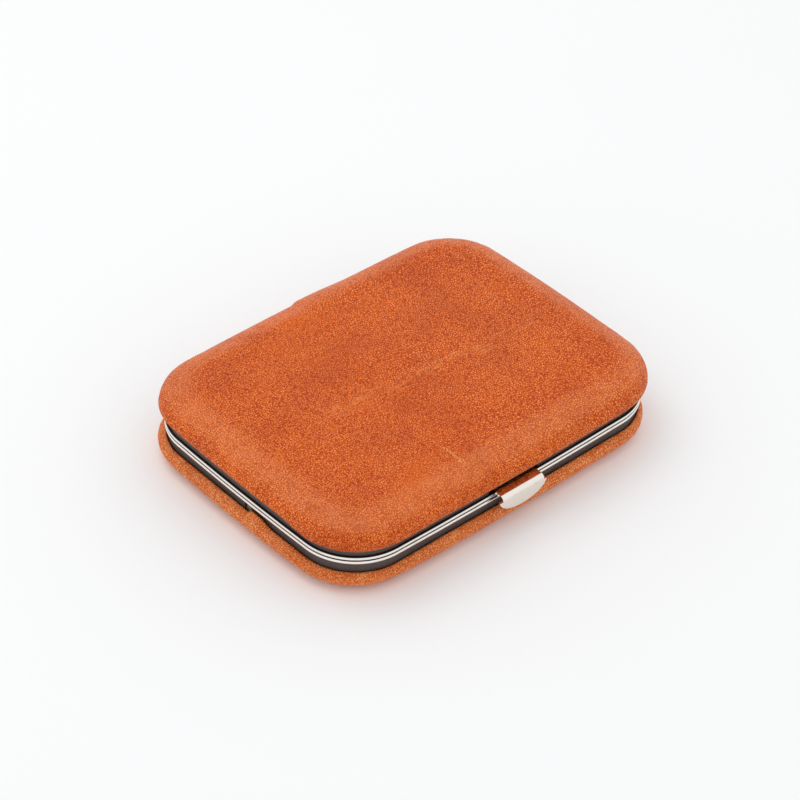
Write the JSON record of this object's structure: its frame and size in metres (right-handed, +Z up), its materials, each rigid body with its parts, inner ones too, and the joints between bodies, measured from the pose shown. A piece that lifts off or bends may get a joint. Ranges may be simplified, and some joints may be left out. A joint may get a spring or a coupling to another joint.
{
  "type": "manicure set case",
  "caption": "Leather covered clamshell frame case for a manicure set, with a rear pin hinge, a sprung front clasp, straps and the grooming tools inside.",
  "frame": {"origin": "middle of the flat resting face under the base, on the floor", "axes": "+X along the long side of the case, +Y from the clasp towards the hinge, +Z up; lid closed at rest"},
  "size_m": [0.105, 0.0827, 0.0204],
  "materials": {
    "leather": "smooth cognac calf leather, fine grain, slight sheen",
    "foam": "thin padding foam",
    "shell": "pressed fibreboard",
    "channel": "dark gunmetal plating",
    "nickel": "bright nickel plating",
    "clasp": "polished nickel plating",
    "steel": "satin stainless steel",
    "spring_steel": "plain spring steel",
    "lining": "thin suede lining glued on card",
    "strap": "narrow leather strap",
    "handle": "polished black handle"
  },
  "bodies": {
    "base": {"base_leather": "leather", "base_foam": "foam", "base_shell": "shell", "base_channel": "channel", "base_rim": "nickel", "base_lining": "lining", "base_hinge_leaf": "nickel", "hinge_pin": "steel", "catch_plate": "spring_steel", "catch_rivets": "nickel", "base_strap": "strap", "base_strap_studs": "nickel", "scissors_lower_half": "steel", "scissors_screw": "steel"},
    "lid": {"lid_leather": "leather", "lid_foam": "foam", "lid_shell": "shell", "lid_channel": "channel", "lid_rim": "nickel", "lid_lining": "lining", "lid_hinge_leaf": "nickel", "clasp_bracket": "spring_steel", "clasp_pin": "steel", "clasp_spring": "spring_steel", "clasp_rivets": "nickel", "lid_strap": "strap", "lid_strap_studs": "nickel", "nail_file": "steel", "nail_file_handle": "handle", "tweezers": "steel", "cuticle_pusher": "steel"},
    "clasp": {"clasp_tab": "clasp"},
    "scissors_upper": {"scissors_upper_half": "steel"}
  },
  "joints": [
    {"name": "lid_hinge", "type": "hinge", "parent": "base", "child": "lid", "pos_m": [0, 0.03955, 0.0094], "axis": [-1, 0, 0], "range_deg": [0, 120]},
    {"name": "clasp_lift", "type": "hinge", "parent": "lid", "child": "clasp", "pos_m": [0, -0.0339, 0.01128], "axis": [-1, 0, 0], "range_deg": [0, 6], "stiffness_Nm_per_rad": 0.1, "springref_deg": -5.73},
    {"name": "scissors_open", "type": "hinge", "parent": "base", "child": "scissors_upper", "pos_m": [0.009, -0.006, 0.0054], "axis": [0, 0, -1], "range_deg": [0, 18]}
  ]
}
